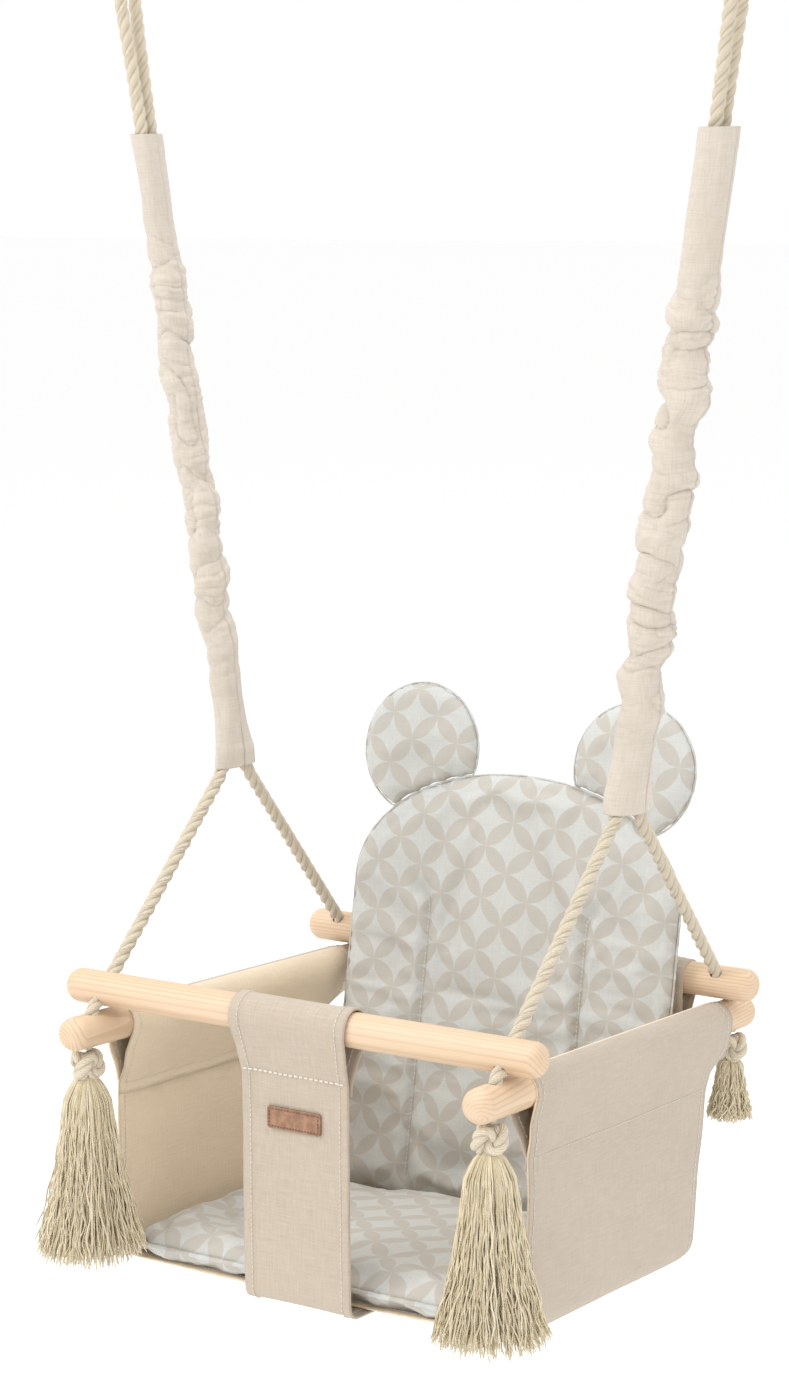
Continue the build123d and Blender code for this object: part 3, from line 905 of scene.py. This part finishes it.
def make_sleeve(hand, name, half_x, half_y, mouth_x, puff, pace, smooth_top, seed):
    """A long cotton sleeve, pushed together in crosswise folds along its middle and smooth near its ends."""
    bottom = -HANG_DROP - SLEEVE_DROP
    top = -SLEEVE_TOP_DROP
    rows, columns = 520, 64
    z = np.linspace(bottom, top, rows)
    mouth = np.clip((z - bottom) / 0.052, 0, 1)
    flat = 1 - mouth * mouth * (3 - 2 * mouth)
    wide_x = half_x * (1 - flat) + mouth_x * flat
    wide_y = half_y * (1 - flat) + 0.0225 * flat
    from_bottom, from_top = z - bottom, top - z
    gather = np.clip((from_bottom - 0.03) / 0.10, 0, 1) * np.clip((from_top - smooth_top) / 0.06, 0, 1)
    points = np.zeros((rows, columns, 3))
    around = np.linspace(0, 2 * math.pi, columns, endpoint=False)
    for i in range(rows):
        rise = max(0.0, z[i] + HANG_DROP)
        sway = 0.0075 * gather[i] * noise.noise(Vector((z[i] * 24 * pace, seed, 0)))
        sway_y = 0.0020 * gather[i] * noise.noise(Vector((z[i] * 18 * pace, seed, 9)))
        bunch = 0.5 + 0.5 * noise.noise(Vector((z[i] * 13, seed + 7, 2.0))) * 1.8
        bunch = min(max(bunch, 0.15), 1.0)
        for j, a in enumerate(around):
            c, s = math.cos(a), math.sin(a)
            slant = z[i] + 0.0045 * math.sin(a + 9 * z[i] + seed) + 0.002 * math.sin(2 * a + seed)
            big = billow((c * 0.42, s * 0.42, slant * 36 * pace), seed)
            small = billow((c * 0.75, s * 0.75, slant * 92 * pace), seed + 3)
            crease = billow((c * 1.5, s * 1.5, slant * 210), seed + 6)
            long_fold = noise.noise(Vector((c * 1.3, s * 1.3, z[i] * 12 + seed)))
            swell = puff * big**0.5 + 0.7 * puff * bunch * small**0.6
            folds = gather[i] * (swell + 0.0022 * bunch * crease**0.7 - 0.35 * puff)
            calm = (1 - 0.6 * gather[i]) * 0.0016 * long_fold
            hem = 0.0003 if from_bottom[i] < 0.017 or from_top[i] < 0.014 else 0.0
            grow = folds + calm + hem
            points[i, j] = (
                hand * (HALF_WIDTH + rise * ROPE_LEAN) + sway + c * (wide_x[i] + grow),
                sway_y + s * (wide_y[i] + grow),
                z[i] + 0.003 * gather[i] * noise.noise(Vector((c * 0.9, s * 0.9, z[i] * 40 + seed))),
            )
    uv = flat_map(around / (2 * math.pi) * 0.09, z[:, None] * 1.25)
    sleeve = grid_piece(f"{name}_gathered_sleeve", points, uv, wrap=True)
    solidify(sleeve, 0.0009)
    finish(sleeve, "canvas", SLEEVE_CANVAS, body="seat", node=f"{name}_rope_sleeve")


make_sleeve(
    -1,
    "left",
    half_x=0.0097,
    half_y=0.0122,
    mouth_x=0.0092,
    puff=0.0062,
    pace=1.15,
    smooth_top=0.045,
    seed=2.0,
)
make_sleeve(
    1,
    "right",
    half_x=0.0134,
    half_y=0.0144,
    mouth_x=0.0140,
    puff=0.0080,
    pace=1.5,
    smooth_top=0.080,
    seed=11.0,
)


# Cushions


def lattice(outline, lines, step):
    """A flat triangle mesh inside an outline, with points on the outline and on the sewn lines."""
    outline = np.asarray(outline, float)
    low, high = outline.min(0), outline.max(0)
    inside = []
    rows = math.ceil((high[1] - low[1]) / (step * 0.866))
    fixed = [np.asarray(l, float) for l in lines]
    marks = np.concatenate([outline, *fixed]) if fixed else outline
    for r in range(rows + 1):
        y = low[1] + r * step * 0.866
        for x in np.arange(low[0] + (r % 2) * step / 2, high[0], step):
            if np.min(np.hypot(*(marks - (x, y)).T)) > 0.55 * step:
                inside.append((x, y))
    points = [tuple(p) for p in outline]
    count = len(points)
    edges = [(i, (i + 1) % count) for i in range(count)]
    for line in fixed:
        start = len(points)
        points += [tuple(p) for p in line]
        edges += [(start + i, start + i + 1) for i in range(len(line) - 1)]
    points += inside
    made = delaunay_2d_cdt([Vector(p) for p in points], edges, [list(range(count))], 1, 1e-6)
    return np.array([tuple(p) for p in made[0]]), [tuple(f) for f in made[2]]


def distance_to(points, marks):
    return np.array([np.min(np.hypot(*(marks - p).T)) for p in points])


def pillow(name, node, body, outline, lines, place, half, round_over, step, pressure, fill):
    """A stuffed pad of two layers, sewn together at the outline and at the sewn lines. Its plane is XZ."""
    flat, faces = lattice(outline, lines, step)
    to_edge = distance_to(flat, np.asarray(outline))
    on_edge = to_edge < 1e-6
    height = half * np.sqrt(1 - (1 - np.clip(to_edge / round_over, 0, 1)) ** 2)
    sewn = np.zeros(len(flat), bool)
    dip = np.ones(len(flat))
    if lines:
        to_line = distance_to(flat, np.concatenate([np.asarray(l) for l in lines]))
        dip = np.sqrt(1 - (1 - np.clip(to_line / 0.010, 0, 1)) ** 2)
        sewn = to_line < 1e-6
    front = height * (0.35 + 0.65 * dip)
    points = [(*p, -h) for p, h in zip(flat, front)]
    number, back_index = len(flat), {}
    for i, (p, h) in enumerate(zip(flat, height * (0.55 + 0.45 * dip))):
        if on_edge[i]:
            back_index[i] = i
        else:
            back_index[i] = len(points)
            points.append((*p, h))
    all_faces = list(faces) + [tuple(back_index[i] for i in f[::-1]) for f in faces]
    uv = [(p[0], p[1]) for p in points]
    placed = [(p[0], p[2], p[1]) for p in points]
    pad = mesh_piece(name, moved(placed, place), all_faces, uv)
    pins = pad.vertex_groups.new(name="sewn")
    pins.add([i for i in range(number) if on_edge[i]], 1.0, "REPLACE")
    if lines:
        pins.add([i for i in range(number) if sewn[i]], 1.0, "REPLACE")
        pins.add([back_index[i] for i in range(number) if sewn[i]], 1.0, "REPLACE")
    inflate(pad, pressure)
    smooth = pad.modifiers.new("smooth", "SUBSURF")
    smooth.levels = smooth.render_levels = 1
    finish(pad, "printed_cotton", PRINTED, body=body, node=node)


INFLATE_FRAMES = 22
MOST_SWELL = 0.009


def inflate(pad, pressure):
    """Puffs the pad out by cloth simulation between its sewn lines, then keeps the simulated mesh."""
    rest = np.array([v.co for v in pad.data.vertices], float)
    cloth = pad.modifiers.new("cloth", "CLOTH")
    settings = cloth.settings
    settings.quality = 6
    settings.mass = 0.2
    settings.tension_stiffness = settings.compression_stiffness = 14
    settings.shear_stiffness = 5
    settings.bending_stiffness = 0.25
    settings.use_pressure = True
    settings.uniform_pressure_force = pressure
    settings.vertex_group_mass = "sewn"
    settings.shrink_min = settings.shrink_max = -0.035
    settings.effector_weights.gravity = 0
    cloth.point_cache.frame_end = INFLATE_FRAMES
    for step in range(1, INFLATE_FRAMES + 1):
        bpy.context.scene.frame_set(step)
    solved = pad.evaluated_get(bpy.context.evaluated_depsgraph_get())
    swollen = np.array([v.co for v in solved.data.vertices], float)
    shift = swollen - rest
    far = np.linalg.norm(shift, axis=1)
    cap = np.minimum(far, MOST_SWELL) / np.maximum(far, 1e-9)
    pad.modifiers.remove(cloth)
    pad.data.vertices.foreach_set("co", (rest + shift * cap[:, None]).astype(np.float32).ravel())
    pad.data.update()
    bpy.context.scene.frame_set(1)


def welt(name, outline, place, radius, body):
    """The sewn edge of a pad: a thin roll of its cloth along the seam."""
    line = moved([(x, 0.0, z) for x, z in outline], place)
    line = np.concatenate([line, line[:1]])
    line, along = evenly(line, 0.002)
    line, along = line[:-1], along[:-1]
    side, up = frames_along(line, closed=True)
    around = np.linspace(0, 2 * math.pi, 8, endpoint=False)
    pinch = 1 + 0.12 * np.sin(along / 0.0021)
    out = side[:, None, :] * np.cos(around)[None, :, None] + up[:, None, :] * np.sin(around)[None, :, None]
    points = line[:, None, :] + out * (radius * pinch)[:, None, None]
    faces = grid_faces(len(line), 8, True)
    last = (len(line) - 1) * 8
    offset = int(np.argmin(np.linalg.norm(points[0] - points[-1][0], axis=1)))
    closing = [(last + k, last + (k + 1) % 8, (k + 1 + offset) % 8, (k + offset) % 8) for k in range(8)]
    flat = moved(line, place.inverted())[:, [0, 2]]
    uv = np.broadcast_to(flat[:, None, :], (*points.shape[:2], 2))
    roll = mesh_piece(name, points.reshape(-1, 3), list(faces) + closing, uv.reshape(-1, 2))
    finish(roll, "printed_cotton", PRINTED, body=body)


def back_outline():
    half, foot, corner, step = BACK_HALF_WIDTH, -0.008, 0.008, 0.006
    points = [(x, foot) for x in np.arange(-half + corner, half - corner, step)]
    points += [(half, z) for z in np.arange(foot + corner, BACK_SHOULDER, step)]
    turns = np.linspace(0, math.pi, 66)
    points += [(half * math.cos(a), BACK_SHOULDER + BACK_ARCH * math.sin(a)) for a in turns]
    points += [(-half, z) for z in np.arange(BACK_SHOULDER, foot + corner, -step)][1:]
    return points


# The two sewn channels up the back cushion, in its own plane
CHANNEL_X = 0.070
CHANNEL_FOOT = 0.012
CHANNEL_TOP = 0.222


def make_back_pad():
    channels = []
    for side in (-1, 1):
        line = [(side * CHANNEL_X, z) for z in np.arange(CHANNEL_FOOT, CHANNEL_TOP, 0.006)]
        for a in np.linspace(0.3, 1.57, 4):
            line.append((side * (CHANNEL_X + 0.008 * (1 - math.cos(a))), CHANNEL_TOP + 0.010 * math.sin(a)))
        channels.append(line)
    sizes = dict(half=0.0105, round_over=0.026, step=0.0062, pressure=2.4, fill=0.55)
    pillow("back_pad", "back_cushion", "back_rest", back_outline(), channels, PAD_PLACE, **sizes)
    welt("back_pad_welt", back_outline(), PAD_PLACE, 0.0009, "back_rest")
    lines = []
    for channel in channels:
        for side in (-1, 1):
            lines.append([(x, side * 0.0072, z) for x, z in channel])
    stitches("back_pad_stitches", lines, PAD_PLACE, "printed_cotton", body="back_rest")


def make_ear(hand, name):
    radius, spacing, lift = 0.052, 0.095, 0.035
    half = BACK_HALF_WIDTH
    rise = BACK_SHOULDER + BACK_ARCH * math.sqrt(1 - (spacing / half) ** 2) + lift
    outline = []
    for a in np.linspace(0, 2 * math.pi, 66, endpoint=False):
        x, z = hand * spacing + radius * math.cos(a), rise + radius * math.sin(a)
        over = 1 - (x / (half + 0.0005)) ** 2
        rim = BACK_SHOULDER + 0.0915 * math.sqrt(max(over, 0.0))
        outline.append((x, max(z, rim) if abs(x) < half else z))
    sizes = dict(half=0.0085, round_over=0.022, step=0.006, pressure=2.0, fill=0.5)
    pillow(f"{name}_ear_pad", f"{name}_ear", "back_rest", outline, [], PAD_PLACE, **sizes)
    welt(f"{name}_ear_welt", outline, PAD_PLACE, 0.0008, "back_rest")


def seat_outline():
    half, front, rear, corner, step = 0.167, -0.133, 0.086, 0.030, 0.007
    points = []
    for cx, cy, start in ((1, -1, -1), (1, 1, 0), (-1, 1, 1), (-1, -1, 2)):
        middle = (cx * (half - corner), (front + corner) if cy < 0 else (rear - corner))
        for a in np.linspace(start * math.pi / 2, (start + 1) * math.pi / 2, 8):
            points.append((middle[0] + corner * math.cos(a), middle[1] + corner * math.sin(a)))
    full = []
    for i, p in enumerate(points):
        q = points[(i + 1) % len(points)]
        count = max(1, math.ceil(math.dist(p, q) / step))
        for k in range(count):
            full.append((p[0] + (q[0] - p[0]) * k / count, p[1] + (q[1] - p[1]) * k / count))
    return full


def make_seat_pad():
    middle_z = SEAT_Z + 0.0014 + 0.012
    place = HUNG @ Matrix.Translation((0, 0, middle_z)) @ Matrix.Rotation(-math.pi / 2, 4, "X")
    outline = seat_outline()
    sizes = dict(half=0.0115, round_over=0.028, step=0.0068, pressure=2.2, fill=0.6)
    pillow("seat_pad", "seat_cushion", "seat", outline, [], place, **sizes)
    welt("seat_pad_welt", outline, place, 0.0017, "seat")


make_back_pad()
make_ear(-1, "left")
make_ear(1, "right")
make_seat_pad()


# Knots and tassels


def knot_line(radius):
    """An overhand knot drawn tight."""
    turn = np.linspace(0, 2 * math.pi, 260)
    x = np.sin(turn) + 2 * np.sin(2 * turn)
    y = np.cos(turn) - 2 * np.cos(2 * turn)
    z = -2.0 * np.sin(3 * turn)
    return np.stack([x, y, z], axis=1) * radius / 3


def make_knot(hand, side, node):
    centre = hung_point(hand * HALF_WIDTH, side * ENTRY_Y, KNOT_Z)
    turn = Matrix.Rotation(0.6 * hand + 1.1 * side, 4, "Z")
    line = moved(knot_line(0.0086), Matrix.Translation(centre) @ turn)
    line, along = evenly(line, 0.0012)
    points, uv = rope_mesh(line, along, 0.0054)
    top = hung_point(0, side * ENTRY_Y, KNOT_TOP_Z + 0.0004).z
    points[..., 2] = np.minimum(points[..., 2], top)
    knot = grid_piece(f"{node}_wound", points, uv, wrap=True)
    finish(knot, "rope_cotton", ROPE, body="seat", node=node)


CLUMPS = 13  # of yarns round a tassel
SHOULDER = 0.12  # of a tassel's length, where it reaches its neck's width
TASSEL_DROP = 0.008  # from the knot's centre to the yarns' start
FRONT_TASSEL = dict(length=0.142, neck=0.0150, end=0.0405, count=1000, yarn=0.00052)
REAR_TASSEL = dict(length=0.056, neck=0.0090, end=0.0175, count=330, yarn=0.00050)


def make_tassel(hand, side, node, length, neck, end, count, yarn, seed):
    """Loose yarns that hang from a knot, wider and wavier towards their ends."""
    pick = random.Random(seed)
    centre = hung_point(hand * HALF_WIDTH, side * ENTRY_Y, KNOT_Z)
    steps, sides = 22, 4
    points, faces, uv = [], [], []
    for k in range(count):
        clump = pick.randrange(CLUMPS)
        angle = 2 * math.pi * (clump + 0.5 + pick.gauss(0, 0.33)) / CLUMPS
        share = math.sqrt(pick.random()) * 0.55 + 0.45 if pick.random() < 0.75 else pick.random()
        stop = length * (1 - abs(pick.gauss(0, 0.045)))
        wave = pick.uniform(0.0006, 0.0021)
        phase, phase_2, speed = pick.uniform(0, 6.3), pick.uniform(0, 6.3), pick.uniform(2.6, 5.6)
        drift = pick.gauss(0, 0.16)
        thick = yarn * pick.uniform(0.8, 1.2)
        line = []
        for i in range(steps):
            t = i / (steps - 1)
            shoulder = math.sin(min(1.0, t / SHOULDER) * math.pi / 2)
            belly = neck + (end - neck) * (0.62 * t + 0.38 * t**3)
            r = share * (min(0.35 * neck + 0.65 * neck * shoulder, neck) if t < SHOULDER else belly)
            a = angle + drift * t
            w = wave * (t**0.8)
            line.append(
                (
                    centre.x + r * math.cos(a) + w * math.sin(phase + speed * 2 * math.pi * t),
                    centre.y + r * math.sin(a) + w * math.sin(phase_2 + speed * 1.9 * math.pi * t),
                    centre.z - TASSEL_DROP - t * (stop - TASSEL_DROP),
                )
            )
        line = np.array(line)
        across, up = frames_along(line)
        start = len(points)
        for i in range(steps):
            end_taper = 0.55 if i == steps - 1 else 1.0
            for m in range(sides):
                a = 2 * math.pi * m / sides
                points.append(line[i] + (across[i] * math.cos(a) + up[i] * math.sin(a)) * thick * end_taper)
                uv.append((k * 0.137, length * i / (steps - 1)))
        faces += [tuple(f) for f in grid_faces(steps, sides, True, start)]
        last = start + (steps - 1) * sides
        faces.append(tuple(range(last, last + sides)))
    tassel = mesh_piece(f"{node}_yarns", points, faces, uv)
    finish(tassel, "tassel_cotton", YARN, body=node, node=node)


for hand, name in ((-1, "left"), (1, "right")):
    for side, end_name in ((-1, "front"), (1, "rear")):
        make_knot(hand, side, f"{end_name}_{name}_knot")
    make_tassel(hand, -1, f"front_{name}_tassel", seed=11 + hand, **FRONT_TASSEL)
    make_tassel(hand, 1, f"rear_{name}_tassel", seed=21 + hand, **REAR_TASSEL)
